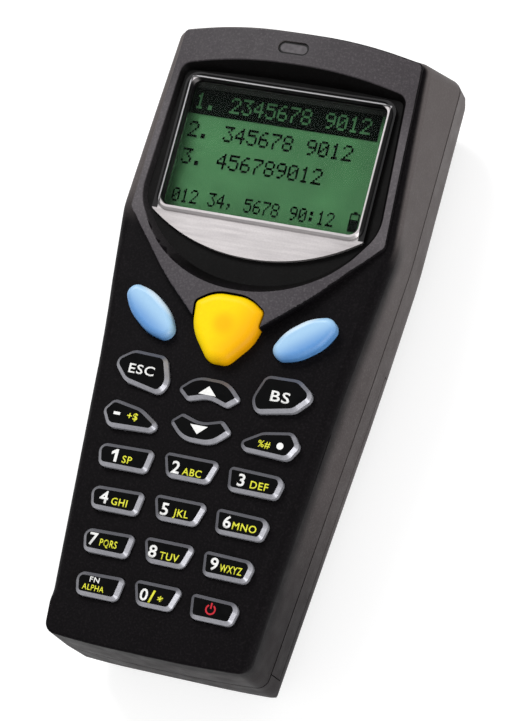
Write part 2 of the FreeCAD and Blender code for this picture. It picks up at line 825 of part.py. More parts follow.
def electronics():
    wall_inside = grown(level_outline(size("board_bottom") + size("board_thickness")),
                        -size("wall") - size("board_gap"))
    board = body_pads("board", [([wall_inside], "$board_bottom", "$board_thickness")])
    holes = [post("board_hole_%d" % i, "$screw_radius + 0.3", repr(x), repr(y),
                  "$board_bottom - 1", "$board_bottom + 3")
             for i, (x, y) in enumerate(HEAD_SCREWS)]
    keep(cut("board_drilled", board, *holes), "main_board")

    pad_area = keypad_area()
    keep(body_pads("domes", [([pad_area], "$board_bottom + $board_thickness", "$dome_thickness")]),
         "dome_sheet")
    keep(body_pads("mat", [([pad_area], "$board_bottom + $board_thickness + $dome_thickness",
                            "%s - $flange_thickness - $key_travel - $mat_clearance"
                            " - $board_bottom - $board_thickness - $dome_thickness" % FLANGE_TOP)]),
         "keypad_mat")

    under = "$board_bottom"
    chip = rectangle(14.0, 24.0, 38.0, 0.3)
    keep(body_pads("chip", [([chip], under + " - 1.3", "1.3")]), "processor_chip")
    memory = [box("memory_%d" % i, ("%g" % x, "%g" % (x + 8)), ("%g" % y, "%g" % (y + 6)),
                  (under + " - 1.1", under))
              for i, (x, y) in enumerate(((-19.0, -2.0), (-8.0, -2.0), (10.0, -2.0), (-4.0, 12.0)))]
    keep(fuse("memory", *memory), "memory_chips")
    can = rectangle(20.0, -44.0, -26.0, 0.8)
    keep(body_pads("can", [([can], under + " - 3.0", "3.0")]), "shield_can")
    keep(cylinder("coin", "6.2", "0", "-14", under + " - 2.5", under), "backup_cell")
    socket = rectangle(16.0, 42.0, 46.0, 0.2)
    keep(body_pads("socket", [([socket], under + " - 2.2", "2.2")]), "engine_socket")


def keypad_area():
    """The mat's outline: the inside of the grip, short of the display."""
    outline = level_outline(size("face_height") - size("wall") - 2.0)
    gap = size("wall") + size("board_gap")
    low = -HALF_LENGTH + gap + 2.0
    high = 9.0
    right = [
        (half_width(low, outline) - gap, low, 1.5),
        (half_width(WAIST_Y, outline) - gap, WAIST_Y, 0.0),
        (half_width(high, outline) - gap, high, 1.5),
    ]
    return symmetric(right)


def rear_boss(name, x, y, bottom):
    return post(name, "$boss_radius + 0.2", repr(x), repr(y), bottom, "$board_bottom - $fit_gap")


def slope_box(name, width, depth, height, centre):
    """A box square to the sloped scan end, centred at (0, *centre)."""
    angle = math.degrees(math.atan2(size("head_lean"), size("parting_height")))
    made = doc.addObject("Part::Box", name)
    made.Length, made.Width, made.Height = width, depth, height
    turned = Rotation(Vector(1, 0, 0), -angle)
    corner = turned.multVec(Vector(-width / 2, -depth / 2, -height / 2))
    made.Placement = Placement(Vector(0, *centre) + corner, turned)
    return made


def slope_point(up, depth):
    """The point (along, up) at a depth square to the scan end, under its outer face's point at height up."""
    run = size("head_lean") / size("parting_height")
    along = HALF_LENGTH - run * (size("parting_height") - up)
    square = math.hypot(1, run)
    return along - depth / square, up + depth * run / square


def cover_region(name, gap):
    """What belongs to the battery cover: everything behind its side seam, and the whole tail end."""
    low = box(name + "_low", ("-$body_length", "$body_length"),
              ("-$body_length", "$cover_front - %g" % gap), ("-5", "$cover_top - %g" % gap))
    tail = box(name + "_tail", ("-$body_length", "$body_length"),
               ("-$body_length", "$cover_end - %g" % gap), ("-5", "$parting_height + %g" % (1 - 2 * gap)))
    return fuse(name, low, tail)


def hull_slice(name, source, y, z, x=("-$body_length", "$body_length")):
    return common(name, source, box(name + "_box", x, y, z))


def rear_housing():
    outer = hull("back_hull", 0.0)
    inner = hull("back_inner", size("wall"))
    below = box("below_seam", ("-$body_length", "$body_length"), ("-$body_length", "$body_length"),
                ("-5", "$parting_height"))
    shell = common("rear_block", outer, below)
    shell = cut("rear_shell", shell, inner, cover_region("cover_space", 0.0))
    plate_top = "$bay_floor + 1.4"
    bay_half = "$cell_diameter + $cell_gap / 2 + 0.4"
    pieces = [
        shell,
        # Plate over the cells, and the wall between the bay and the head
        hull_slice("bay_plate", outer, ("$cover_end", "$cover_front + $wall"), ("$bay_floor", plate_top)),
        hull_slice("bay_front", outer, ("$cover_front", "$cover_front + $wall"), ("0", plate_top)),
        hull_slice("bay_end_top", outer, ("$cover_end", "$cover_end + 1.5"), ("$bay_floor", "$parting_height")),
        common("bay_walls", fuse(
            "bay_wall_boxes",
            box("bay_left", ("-(%s) - $bay_wall" % bay_half, "-(%s)" % bay_half),
                ("$cover_end", "$cover_front + 0.5"), ("$wall + 0.6", "$bay_floor + 0.5")),
            box("bay_right", (bay_half, bay_half + " + $bay_wall"),
                ("$cover_end", "$cover_front + 0.5"), ("$wall + 0.6", "$bay_floor + 0.5")),
            box("bay_end", ("-(%s) - 0.5" % bay_half, bay_half + " + 0.5"),
                ("$cover_end", "$cover_end + 2.6"), ("$wall + 0.6", "$bay_floor + 0.5")),
            box("bay_contact_wall", ("-(%s) - 0.5" % bay_half, bay_half + " + 0.5"),
                ("$cover_end + $cell_length + 8.1", "$cover_end + $cell_length + 9.5"),
                ("$wall + 0.6", "$bay_floor + 0.5"))),
            side_profile("bay_profile", size("wall") + 0.5, size("wall") + 0.5)),
    ]
    for side, (low, high) in (("left", ("-$body_length", "-$rail_x")), ("right", ("$rail_x", "$body_length"))):
        pieces.append(hull_slice("rail_" + side, outer, (rail_start(), rail_start() + " + $rail_length"),
                                 ("$cover_top", "$cover_top + 1.4"), (low, high)))
    for i, (x, y) in enumerate(HEAD_SCREWS):
        pieces.append(rear_boss("rear_boss_%d" % i, x, y, "$wall - 0.5"))
    for i, (x, y) in enumerate(BOARD_POSTS):
        pieces.append(rear_boss("board_post_%d" % i, x, y, "$bay_floor + 0.2"))
    body = fuse("rear_joined", *pieces)
    # Bosses stop at the outer skin
    limit = prism("rear_limit", [grown(seam_outline(), -0.01)], "-1", "$parting_height + 12")
    body = common("rear_limited", body, limit)
    tools = [seam_ring("rear_seam")]
    for i, (x, y) in enumerate(HEAD_SCREWS):
        tools.append(post("rear_bore_%d" % i, "$screw_radius + 0.3", repr(x), repr(y),
                          "-1", "$parting_height + 12"))
        tools.append(cylinder("rear_counterbore_%d" % i, "$screw_head_radius + 0.25", repr(x), repr(y),
                              "-1", "5.0"))
    middle = 8.6
    tools.append(slope_box("scan_opening", size("scan_window_width") + 0.2, 12.0,
                           size("scan_window_height") + 0.2, slope_point(middle, 0.0)))
    tools.append(prism("port_opening", [port_outline(0.0)], "-1", "4"))
    for i, (x, y) in enumerate(sound_holes()):
        tools.append(post("sound_hole_%d" % i, "0.6", repr(x), repr(y), "-1", "$wall + 0.5"))
    keep(cut("rear_done", body, *tools), "rear_housing")

    window = slope_box("scan_window_box", size("scan_window_width"), size("scan_window_thickness"),
                       size("scan_window_height"),
                       slope_point(middle, 0.3 + size("scan_window_thickness") / 2))
    keep(window, "scan_window")
    return outer, inner


def rail_start():
    return "$cover_end + 6"


def port_outline(gap):
    return rectangle_at(0.0, 14.0, 9.0 - 2 * gap, 4.0 - 2 * gap, 1.9 - gap)


def rectangle_at(x, y, width, depth, radius):
    return [(x + width / 2, y - depth / 2, radius), (x + width / 2, y + depth / 2, radius),
            (x - width / 2, y + depth / 2, radius), (x - width / 2, y - depth / 2, radius)]


BUZZER = (13.0, 32.0)


def sound_holes():
    ring = [(BUZZER[0] + 2.2 * math.cos(k * math.pi / 3), BUZZER[1] + 2.2 * math.sin(k * math.pi / 3))
            for k in range(6)]
    return [BUZZER] + ring


def battery_cover(outer, inner):
    gap = size("cover_gap")
    skin = common("cover_block", outer, cover_region("cover_part", gap))
    limit = box("cover_limit", ("-$body_length", "$body_length"), ("-$body_length", "$body_length"),
                ("-5", "$parting_height - $cover_gap"))
    skin = common("cover_limited", skin, limit)
    corners = prism("cover_corners", [grown(seam_outline(), -0.01)], "-1", "$parting_height + 1")
    skin = cut("cover_skin", common("cover_cornered", skin, corners), inner)
    pieces = [skin]
    stem = "$rail_x - 0.35"
    foot = "$rail_x + 1.1"
    for side in (-1, 1):
        def span(low, high):
            if side > 0:
                return (low, high)
            return ("-(%s)" % high, "-(%s)" % low)
        name = "left" if side < 0 else "right"
        pieces.append(box("hook_stem_" + name, span(stem + " - 1.1", stem),
                          (rail_start(), rail_start() + " + $rail_length"),
                          ("$wall - 0.3", "$cover_top + 2.5")))
        pieces.append(box("hook_foot_" + name, span(stem + " - 1.1", foot),
                          (rail_start(), rail_start() + " + $rail_length"),
                          ("$cover_top + 1.6", "$cover_top + 2.5")))
    body = fuse("cover_joined", *pieces)
    grips = [prism("grip_%d" % i, [rectangle_at(0.0, -8.0 - 2.6 * i, 18.0, 1.2, 0.55)], "-1", "1.5")
             for i in range(5)]
    keep(cut("cover_done", body, *grips), "battery_cover")


def cells():
    spring_space = 5.0
    start = "$cover_end + 2.6 + %g" % spring_space
    radius = "$cell_diameter / 2"
    height = "$wall + 0.5 + " + radius
    for side, name in ((-1, "left"), (1, "right")):
        x = "%d * ($cell_diameter + $cell_gap) / 2" % side
        can = lengthwise_cylinder("cell_can_" + name, radius, x, height, start, start + " + $cell_length - 1")
        nub = lengthwise_cylinder("cell_nub_" + name, "1.9", x, height, start + " + $cell_length - 2",
                                  start + " + $cell_length")
        keep(fuse("cell_" + name, can, nub), "battery_cell_" + name)
    springs = []
    plates = []
    for side in (-1, 1):
        x = "%d * ($cell_diameter + $cell_gap) / 2" % side
        spring = doc.addObject("Part::Cone", "spring_%d" % (side + 1))
        spring.Placement = Placement(Vector(0, 0, 0), Rotation(Vector(1, 0, 0), -90))
        spring.Radius1, spring.Radius2 = 3.4, 2.0
        bind(spring, Height="%g - 0.2" % spring_space, Placement__Base__x=x,
             Placement__Base__y="$cover_end + 2.65", Placement__Base__z=height)
        springs.append(spring)
        plates.append(box("plate_%d" % (side + 1), (x + " - 3.6", x + " + 3.6"),
                          (start + " + $cell_length + 0.05", start + " + $cell_length + 0.4"),
                          (height + " - 4", height + " + 4")))
    keep(fuse("springs", *springs), "battery_springs")
    keep(fuse("plates", *plates), "battery_contacts")


def scanner():
    bracket_top = "$wall + 1.6"
    half = "$engine_width / 2"
    back = "38.0"
    keep(box("bracket", ("-(%s) - 1" % half, half + " + 1"), (back + " - 1", back + " + $engine_depth"),
             ("$wall + 0.05", bracket_top)), "engine_bracket")
    block = box("engine_block", ("-(%s)" % half, half), (back, back + " + $engine_depth"),
                (bracket_top, bracket_top + " + $engine_height"))
    mouth = box("engine_mouth", ("-(%s) + 2.5" % half, half + " - 2.5"),
                (back + " + $engine_depth - 3", back + " + $engine_depth + 1"),
                (bracket_top + " + 2.5", bracket_top + " + $engine_height - 2"))
    keep(cut("engine", block, mouth), "scan_engine")
    keep(cylinder("buzzer_disc", "4.6", repr(BUZZER[0]), repr(BUZZER[1]), "$wall + 0.05", "$wall + 3.0"),
         "buzzer")
    keep(prism("port_lens", [port_outline(size("fit_gap"))], "0.3", "$wall - 0.3"), "port_window")
    keep(box("port_unit", ("-4.0", "4.0"), ("12.2", "15.8"), ("$wall + 0.1", "$wall + 3.6")),
         "port_transceiver")


def screws():
    made = []
    for i, (x, y) in enumerate(HEAD_SCREWS):
        head = cylinder("screw_head_%d" % i, "$screw_head_radius", repr(x), repr(y), "5.0 - $screw_head_height",
                        "5.0")
        shank = post("screw_shank_%d" % i, "$screw_radius - 0.02", repr(x), repr(y), "4.9",
                     "$face_height - 4.6")
        made.append(fuse("screw_%d" % i, head, shank))
    keep(fuse("screws", *made), "housing_screws")


def check_and_write():
    doc.recompute()
    for thing in doc.Objects:
        for state in thing.State:
            if "Invalid" in state or "Error" in state:
                raise RuntimeError("%s (%s) failed: %s" % (thing.Name, thing.Label, thing.State))
    os.makedirs("parts", exist_ok=True)
    for thing in NODES:
        shape = thing.Shape
        if shape.isNull() or not shape.isValid() or not shape.Solids:
            raise RuntimeError("%s has no valid solid" % thing.Label)
        print("%-20s solids %d volume %.1f" % (thing.Label, len(shape.Solids), shape.Volume))
    for thing in NODES:
        thing.Shape.exportStep("parts/%s.step" % thing.Label)


front_housing()
display()
keys()
electronics()
skin_outer, skin_inner = rear_housing()
battery_cover(skin_outer, skin_inner)
cells()
scanner()
screws()
check_and_write()
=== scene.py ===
import bmesh
import bpy
import math
from mathutils import Matrix, Vector


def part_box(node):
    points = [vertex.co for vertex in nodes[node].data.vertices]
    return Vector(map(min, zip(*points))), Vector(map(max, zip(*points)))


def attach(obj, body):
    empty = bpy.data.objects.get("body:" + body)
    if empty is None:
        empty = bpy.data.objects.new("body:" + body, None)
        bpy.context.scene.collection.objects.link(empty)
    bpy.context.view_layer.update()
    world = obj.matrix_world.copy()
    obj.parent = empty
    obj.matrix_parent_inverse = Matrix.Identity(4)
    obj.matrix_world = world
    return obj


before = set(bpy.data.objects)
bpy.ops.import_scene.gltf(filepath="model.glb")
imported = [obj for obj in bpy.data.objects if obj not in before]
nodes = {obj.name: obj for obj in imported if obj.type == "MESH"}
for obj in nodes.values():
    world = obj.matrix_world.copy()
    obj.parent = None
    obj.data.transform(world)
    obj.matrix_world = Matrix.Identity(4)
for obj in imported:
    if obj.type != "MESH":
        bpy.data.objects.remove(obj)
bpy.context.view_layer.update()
scene = bpy.context.scene
MM = 0.001

# Shape of the front in millimetres: heights on the middle line, and how the surfaces fall away
# from it, by x * x / FALL; the display lip's outer edges beside and above the window
FACE_TOP, FACE_FALL = 29.3, 520
PLATEAU_TOP, PLATEAU_FALL = 31.7, 220
LIP_SIDE, LIP_HEAD = 20.2, 49.5
WINDOW_SIDE, WINDOW_HEAD = 19.9, 49.2


def linear(r, g, b):
    """A colour given as it looks on a screen, 0 to 255, as the shader wants it."""
    out = []
    for value in (r, g, b):
        value = value / 255
        out.append(value / 12.92 if value <= 0.04045 else ((value + 0.055) / 1.055) ** 2.4)
    return (*out, 1.0)


# Camera

camera_data = bpy.data.cameras.new("camera")
camera_data.sensor_fit = "VERTICAL"
camera_data.sensor_height = 24.0
camera_data.lens = 2909.74 / 721 * 24.0
camera_data.clip_start = 0.02
camera_data.clip_end = 20
camera = bpy.data.objects.new("camera", camera_data)
scene.collection.objects.link(camera)
camera.matrix_world = Matrix((
    (0.934816, -0.172567, 0.310387, 0.173925),
    (0.246819, 0.944117, -0.218459, -0.121903),
    (-0.255343, 0.280828, 0.925168, 0.528911),
    (0.0, 0.0, 0.0, 1.0),
))
scene.camera = camera


# Materials

class Shader:
    """A material with a principled shader, and short calls for the nodes that drive it."""

    def __init__(self, name, rough=0.5, metallic=0.0, specular=0.5):
        self.material = bpy.data.materials.new(name)
        self.material.use_nodes = True
        self.tree = self.material.node_tree
        self.main = self.tree.nodes["Principled BSDF"]
        self.main.inputs["Roughness"].default_value = rough
        self.main.inputs["Metallic"].default_value = metallic
        self.main.inputs["Specular IOR Level"].default_value = specular
        self.coordinates = self.node("ShaderNodeTexCoord")
        self.place = self.coordinates.outputs["Object"]

    def node(self, kind, **values):
        made = self.tree.nodes.new(kind)
        for name, value in values.items():
            setattr(made, name, value)
        return made

    def link(self, source, target):
        self.tree.links.new(source, target)

    def math(self, operation, *values, clamp=False):
        made = self.node("ShaderNodeMath", operation=operation, use_clamp=clamp)
        for i, value in enumerate(values):
            if isinstance(value, (int, float)):
                made.inputs[i].default_value = value
            else:
                self.link(value, made.inputs[i])
        return made.outputs[0]

    def times(self, first, *others):
        for value in others:
            first = self.math("MULTIPLY", first, value)
        return first

    def size_of(self, across, along):
        """Length of a flat vector."""
        return self.math("SQRT", self.math("ADD", self.times(across, across), self.times(along, along)))

    def axis(self, which):
        """One coordinate of the surface point, in millimetres."""
        split = self.node("ShaderNodeSeparateXYZ")
        self.link(self.place, split.inputs[0])
        return self.math("MULTIPLY", split.outputs[which], 1000.0)

    def facing(self, which):
        """One coordinate of the surface's own normal: 0, 1 or 2."""
        split = self.node("ShaderNodeSeparateXYZ")
        self.link(self.coordinates.outputs["Normal"], split.inputs[0])
        return split.outputs[which]

    def ramp(self, value, low, high):
        """0 below low and 1 above high, soft between."""
        made = self.node("ShaderNodeMapRange", interpolation_type="SMOOTHSTEP")
        self.link(value, made.inputs["Value"])
        made.inputs["From Min"].default_value = low
        made.inputs["From Max"].default_value = high
        return made.outputs["Result"]

    def share(self, value, low, high, most):
        """Like ramp, but rising to less than 1."""
        return self.times(self.ramp(value, low, high), most)

    def noise(self, scale, detail=2.0, roughness=0.5, stretch=None):
        source = self.place
        if stretch:
            mapping = self.node("ShaderNodeMapping")
            mapping.inputs["Scale"].default_value = stretch
            self.link(source, mapping.inputs["Vector"])
            source = mapping.outputs["Vector"]
        made = self.node("ShaderNodeTexNoise")
        made.inputs["Scale"].default_value = scale
        made.inputs["Detail"].default_value = detail
        made.inputs["Roughness"].default_value = roughness
        self.link(source, made.inputs["Vector"])
        return made.outputs["Fac"]

    def mix(self, share, first, second):
        """Blend of two colours; each is a socket or a written colour."""
        made = self.node("ShaderNodeMix", data_type="RGBA")
        if isinstance(share, (int, float)):
            made.inputs["Factor"].default_value = share
        else:
            self.link(share, made.inputs["Factor"])
        for value, socket in ((first, made.inputs[6]), (second, made.inputs[7])):
            if isinstance(value, tuple):
                socket.default_value = value
            else:
                self.link(value, socket)
        return made.outputs[2]

    def color(self, source):
        self.link(source, self.main.inputs["Base Color"])

    def roughness(self, fac, low, high):
        made = self.node("ShaderNodeMapRange")
        self.link(fac, made.inputs["Value"])
        made.inputs["From Min"].default_value = 0.3
        made.inputs["From Max"].default_value = 0.7
        made.inputs["To Min"].default_value = low
        made.inputs["To Max"].default_value = high
        self.link(made.outputs["Result"], self.main.inputs["Roughness"])

    def bump(self, height, strength, distance):
        made = self.node("ShaderNodeBump")
        made.inputs["Strength"].default_value = strength
        made.inputs["Distance"].default_value = distance
        self.link(height, made.inputs["Height"])
        self.link(made.outputs["Normal"], self.main.inputs["Normal"])


def speckled(name, first, second, rough, scale=2200.0, grain=0.35, depth=0.00004,
             metallic=0.0, specular=0.5):
    """Moulded or painted surface: two near colours in fine grain, uneven gloss and a fine relief."""
    made = Shader(name, rough, metallic, specular)
    fine = made.noise(scale, 3.0, 0.6)
    broad = made.noise(70.0, 2.0)
    ground = made.mix(made.ramp(broad, 0.3, 0.7), first, second)
    made.color(made.mix(made.ramp(fine, 0.35, 0.65), ground, second))
    made.roughness(made.noise(scale * 0.4, 2.0), rough - 0.05, rough + 0.07)
    made.bump(fine, grain, depth)
    return made.material


def grain_layers(made, dark, light, scale):
    """Pale specks on a slightly clouded darker ground, and the height of the grain."""
    fine = made.noise(scale, 4.0, 0.65)
    cloud = made.noise(110.0, 3.0)
    ground = made.mix(made.ramp(cloud, 0.3, 0.7), dark, tuple(v * 1.12 for v in dark[:3]) + (1.0,))
    return made.mix(made.ramp(fine, 0.45, 0.75), ground, light), fine


def case_grain(made, color, fine, low, high):
    """Finish a case plastic: its colour, gloss between two roughnesses, and grain."""
    made.color(color)
    made.roughness(made.noise(300.0, 2.0), low, high)
    made.bump(fine, 0.5, 0.00004)
    return made.material


def side_tone(made):
    """Warm grey of the walls: painted light at the display end, painted shade darkest at the keypad
    end.
    """
    side, fine = grain_layers(made, linear(68, 62, 62), linear(92, 87, 86), 2600.0)
    along = made.axis(1)
    # Painted light: the walls lighten towards the display end
    side = made.mix(made.share(along, -35.0, 62.0, 0.5), side, linear(116, 110, 109))
    # Painted shade: the walls darken to near black towards the keypad end
    return made.mix(made.share(along, -18.0, -52.0, 0.9), side, linear(24, 20, 22)), fine


def case_front():
    """Front housing: a near-black keypad face that turns to dark grey over its rounded rim."""
    made = Shader("case_front", 0.5, 0.0, 0.05)
    face, fine = grain_layers(made, linear(12, 10, 12), linear(28, 25, 27), 2600.0)
    # The walls' grey, with its painted light and shade
    side, _ = side_tone(made)
    across, along = made.axis(0), made.axis(1)
    height = made.math("ADD", made.axis(2), made.times(across, across, 1 / FACE_FALL))
    keypad = made.ramp(height, 22.6, 27.6)
    # Painted reflection: at the head the face keeps its black only on the right half and takes the
    # walls' lighter grey on the left
    strip = made.times(made.ramp(height, FACE_TOP - 0.8, FACE_TOP - 0.2), made.ramp(across, -6.0, 6.0))
    head = made.ramp(along, 18.0, 27.0)
    level = made.math("ADD", made.times(keypad, made.math("SUBTRACT", 1.0, head)),
                      made.times(strip, head))
    return case_grain(made, made.mix(level, side, face), fine, 0.44, 0.56)


def case_back():
    """Rear housing and battery cover: the grey of the walls with its painted light and shade, darker
    towards the flat back.
    """
    made = Shader("case_back", 0.52, 0.0, 0.06)
    side, fine = side_tone(made)
    color = made.mix(made.share(made.axis(2), 8.0, 2.5, 0.8), side, linear(22, 19, 20))
    return case_grain(made, color, fine, 0.46, 0.58)


def plateau_tone(made):
    """Grey of the raised head, darker towards the status light's end and the tip."""
    low, fine = grain_layers(made, linear(64, 60, 64), linear(90, 86, 89), 2400.0)
    high, _ = grain_layers(made, linear(62, 58, 61), linear(86, 81, 84), 2400.0)
    middle, _ = grain_layers(made, linear(84, 80, 83), linear(108, 103, 106), 2400.0)
    along = made.axis(1)
    belt = made.times(made.ramp(along, 14.0, 24.0), made.ramp(along, 52.0, 40.0))
    return made.mix(belt, made.mix(made.ramp(along, 12.0, 34.0), low, high), middle), fine


def plateau_grain():
    """Raised head."""
    made = Shader("plateau_grain", 0.5, 0.0, 0.2)
    grey, fine = plateau_tone(made)
    return case_grain(made, grey, fine, 0.42, 0.54)


def well_black():
    """Sunk field round the display: black below its rim, partly painted shade; painted light greys the
    left wall.
    """
    made = Shader("recess_black", 0.5, 0.0, 0.08)
    grey, fine = plateau_tone(made)
    # The field's black: partly its own colour, partly painted shade
    black, _ = grain_layers(made, linear(7, 6, 6), linear(16, 15, 15), 2600.0)
    # Painted light: a lit grey for the wall at the left, which faces the lamp
    wall, _ = grain_layers(made, linear(38, 36, 37), linear(56, 53, 55), 2600.0)
    across, along = made.axis(0), made.axis(1)
    painted_light_left = made.times(made.ramp(made.facing(0), 0.3, 0.6), made.ramp(along, 56.0, 30.0))
    black = made.mix(painted_light_left, black, wall)
    crown = made.math("SUBTRACT", PLATEAU_TOP, made.times(across, across, 1 / PLATEAU_FALL))
    depth = made.math("SUBTRACT", crown, made.axis(2))
    return case_grain(made, made.mix(made.ramp(depth, 0.1, 0.35), grey, black), fine, 0.42, 0.54)


def brushed_trim():
    """Silver crescent and lip with fine marks along them; what lies outside the lip is dark."""
    made = Shader("brushed_silver", 0.34, 0.6)
    marks = made.noise(1500.0, 5.0, 0.7, (0.06, 1.0, 1.0))
    grain = made.noise(3200.0, 2.0)
    across, along = made.axis(0), made.axis(1)
    off_middle = made.math("ABSOLUTE", across)
    silver = made.mix(made.ramp(marks, 0.25, 0.78), linear(184, 179, 180), linear(200, 195, 195))
    silver = made.mix(made.share(grain, 0.4, 0.7, 0.25), silver, linear(166, 162, 163))
    # Painted shade: the crescent darkens towards its tips
    painted_shade_tips = made.times(made.ramp(off_middle, 12.0, 20.0), made.share(along, 22.6, 21.6, 0.3))
    silver = made.mix(painted_shade_tips, silver, linear(120, 116, 117))
    # The lip has painted shade at the left and at the head, but for a thin painted highlight along its
    # crest
    painted_shade_lip = made.math("MAXIMUM", made.ramp(across, -WINDOW_SIDE + 0.4, -WINDOW_SIDE),
                     made.ramp(along, WINDOW_HEAD - 0.4, WINDOW_HEAD))
    painted_shade_lip = made.times(painted_shade_lip, made.ramp(along, 22.2, 23.4))
    silver = made.mix(painted_shade_lip, silver, linear(40, 40, 41))
    edge = made.math("MAXIMUM", off_middle, made.math("SUBTRACT", along, LIP_HEAD - LIP_SIDE))
    silver = made.mix(made.times(made.ramp(edge, 19.95, 20.0), painted_shade_lip), silver, linear(150, 149, 151))
    outside = made.math("MAXIMUM", made.ramp(off_middle, LIP_SIDE - 0.04, LIP_SIDE + 0.04),
                        made.ramp(along, LIP_HEAD - 0.04, LIP_HEAD + 0.04))
    outside = made.times(outside, made.ramp(along, 22.2, 22.4))
    made.color(made.mix(outside, silver, linear(20, 19, 20)))
    made.roughness(marks, 0.32, 0.42)
    made.bump(marks, 0.12, 0.00001)
    return made.material


def key_rim():
    """Metallic paint round a key, with painted light: lighter where it faces the lower right than the
    upper left.
    """
    made = Shader("key_rim_grey", 0.34, 0.3)
    painted_light_turn = made.math("SUBTRACT", made.times(made.facing(0), 0.6), made.times(made.facing(1), 0.8))
    fine = made.noise(2400.0, 3.0)
    body = made.mix(made.ramp(painted_light_turn, -0.5, 0.55), linear(104, 104, 110), linear(178, 178, 185))
    made.color(made.mix(made.share(fine, 0.35, 0.7, 0.25), body, linear(120, 120, 126)))
    made.roughness(made.noise(500.0, 2.0), 0.28, 0.38)
    made.bump(fine, 0.2, 0.00002)
    return made.material


def status_smoke():
    """Smoked status light with a dark rim line."""
    made = Shader("light_smoke", 0.2, 0.0, 0.4)
    low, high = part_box("status_light_lens")
    middle = [(low[i] + high[i]) / 2 / MM for i in (0, 1)]
    half = [(high[i] - low[i]) / 2 / MM for i in (0, 1)]
    across = made.math("ABSOLUTE", made.math("SUBTRACT", made.axis(0), middle[0]))
    across = made.math("MAXIMUM", made.math("SUBTRACT", across, half[0] - half[1]), 0.0)
    away = made.size_of(across, made.math("SUBTRACT", made.axis(1), middle[1]))
    fine = made.noise(900.0, 2.0)
    body = made.mix(made.ramp(fine, 0.35, 0.65), linear(84, 80, 83), linear(96, 92, 95))
    made.color(made.mix(made.ramp(away, half[1] - 0.42, half[1] - 0.26), body, linear(12, 11, 12)))
    made.roughness(fine, 0.16, 0.24)
    return made.material


def clear_pane(name, tint, rough=0.03, ior=1.46):
    """Clear or tinted window that lets lamplight through."""
    made = Shader(name, rough)
    made.main.inputs["Transmission Weight"].default_value = 1.0
    made.main.inputs["IOR"].default_value = ior
    haze = made.noise(60.0, 3.0)
    deeper = tuple(v * 0.94 for v in tint[:3]) + (1.0,)
    made.color(made.mix(made.ramp(haze, 0.3, 0.7), tint, deeper))
    made.roughness(made.noise(220.0, 3.0), rough, rough + 0.04)
    through = made.node("ShaderNodeBsdfTransparent")
    through.inputs["Color"].default_value = tint
    path = made.node("ShaderNodeLightPath")
    blend = made.node("ShaderNodeMixShader")
    made.link(path.outputs["Is Shadow Ray"], blend.inputs[0])
    made.link(made.main.outputs[0], blend.inputs[1])
    made.link(through.outputs[0], blend.inputs[2])
    made.link(blend.outputs[0], made.tree.nodes["Material Output"].inputs["Surface"])
    return made.material


def scan_yellow():
    """Yellow silicone, with painted shade turning it orange towards its lower right and in the dimple.
    """
    made = Shader("yellow_silicone", 0.42, 0.0, 0.12)
    across, along = made.axis(0), made.axis(1)
    # Painted shade: orange towards the lower right
    side = made.math("SUBTRACT", across, made.times(along, 0.45))
    body = made.mix(made.ramp(side, -3.0, 8.5), linear(255, 220, 0), linear(242, 158, 4))
    # Painted shade: orange in the dimple
    away = made.size_of(made.math("ADD", across, 0.2), made.math("SUBTRACT", along, 1.4))
    body = made.mix(made.share(away, 3.2, 0.6, 0.55), body, linear(243, 168, 0))
    fine = made.noise(1500.0, 3.0)
    body = made.mix(made.share(fine, 0.4, 0.7, 0.12), body, linear(236, 190, 10))
    made.color(body)
    made.roughness(made.noise(200.0, 2.0), 0.38, 0.5)
    made.bump(fine, 0.2, 0.00002)
    return made.material


def oval_blue(name, centre_x, slope):
    """Pale blue silicone: painted shade deepens it towards the lower side, a painted highlight whitens
    the upper one.
    """
    made = Shader(name, 0.4)
    off_centre = made.math("SUBTRACT", made.axis(0), centre_x)
    rise = made.math("SUBTRACT", made.axis(1), 1.6)
    drop = made.math("SUBTRACT", rise, made.times(off_centre, slope))
    # Painted shade: the blue deepens towards the lower side
    body = made.mix(made.ramp(drop, -3.0, 1.6), linear(92, 148, 210), linear(164, 205, 238))
    # Painted highlight: almost white along the upper side
    body = made.mix(made.ramp(drop, 2.0, 3.4), body, linear(214, 233, 247))
    fine = made.noise(1500.0, 3.0)
    made.color(made.mix(made.share(fine, 0.4, 0.7, 0.1), body, linear(140, 182, 220)))
    made.roughness(made.noise(200.0, 2.0), 0.36, 0.48)
    made.bump(fine, 0.2, 0.00002)
    return made.material


def display_film():
    """Reflective liquid crystal film: green, with a faint pixel grid, painted shade at the left and at
    the head.
    """
    made = Shader("display_green", 0.5, 0.0, 0.05)
    across, along = made.axis(0), made.axis(1)
    cloud = made.noise(90.0, 3.0)
    body = made.mix(made.ramp(cloud, 0.3, 0.7), linear(56, 97, 62), linear(62, 106, 68))
    # Painted shade: darker along the left edge, under the lip
    body = made.mix(made.share(across, -18.2, -WINDOW_SIDE, 0.6), body, linear(30, 48, 34))
    # Painted shade: a grey band along the head, under the lip
    body = made.mix(made.ramp(along, 47.9, 48.3), body, linear(42, 44, 42))
    wave = made.node("ShaderNodeTexWave", wave_type="BANDS", bands_direction="X")
    wave.inputs["Scale"].default_value = 785.0
    made.link(made.place, wave.inputs["Vector"])
    made.color(made.mix(made.times(wave.outputs["Fac"], 0.06), body, linear(36, 70, 44)))
    made.roughness(cloud, 0.45, 0.55)
    return made.material


def printed(name, color, second, specular=0.4):
    """Ink in two near colours."""
    made = Shader(name, 0.38, 0.0, specular)
    made.color(made.mix(made.ramp(made.noise(2400.0, 3.0), 0.35, 0.7), color, second))
    made.roughness(made.noise(400.0, 2.0), 0.32, 0.44)
    return made.material


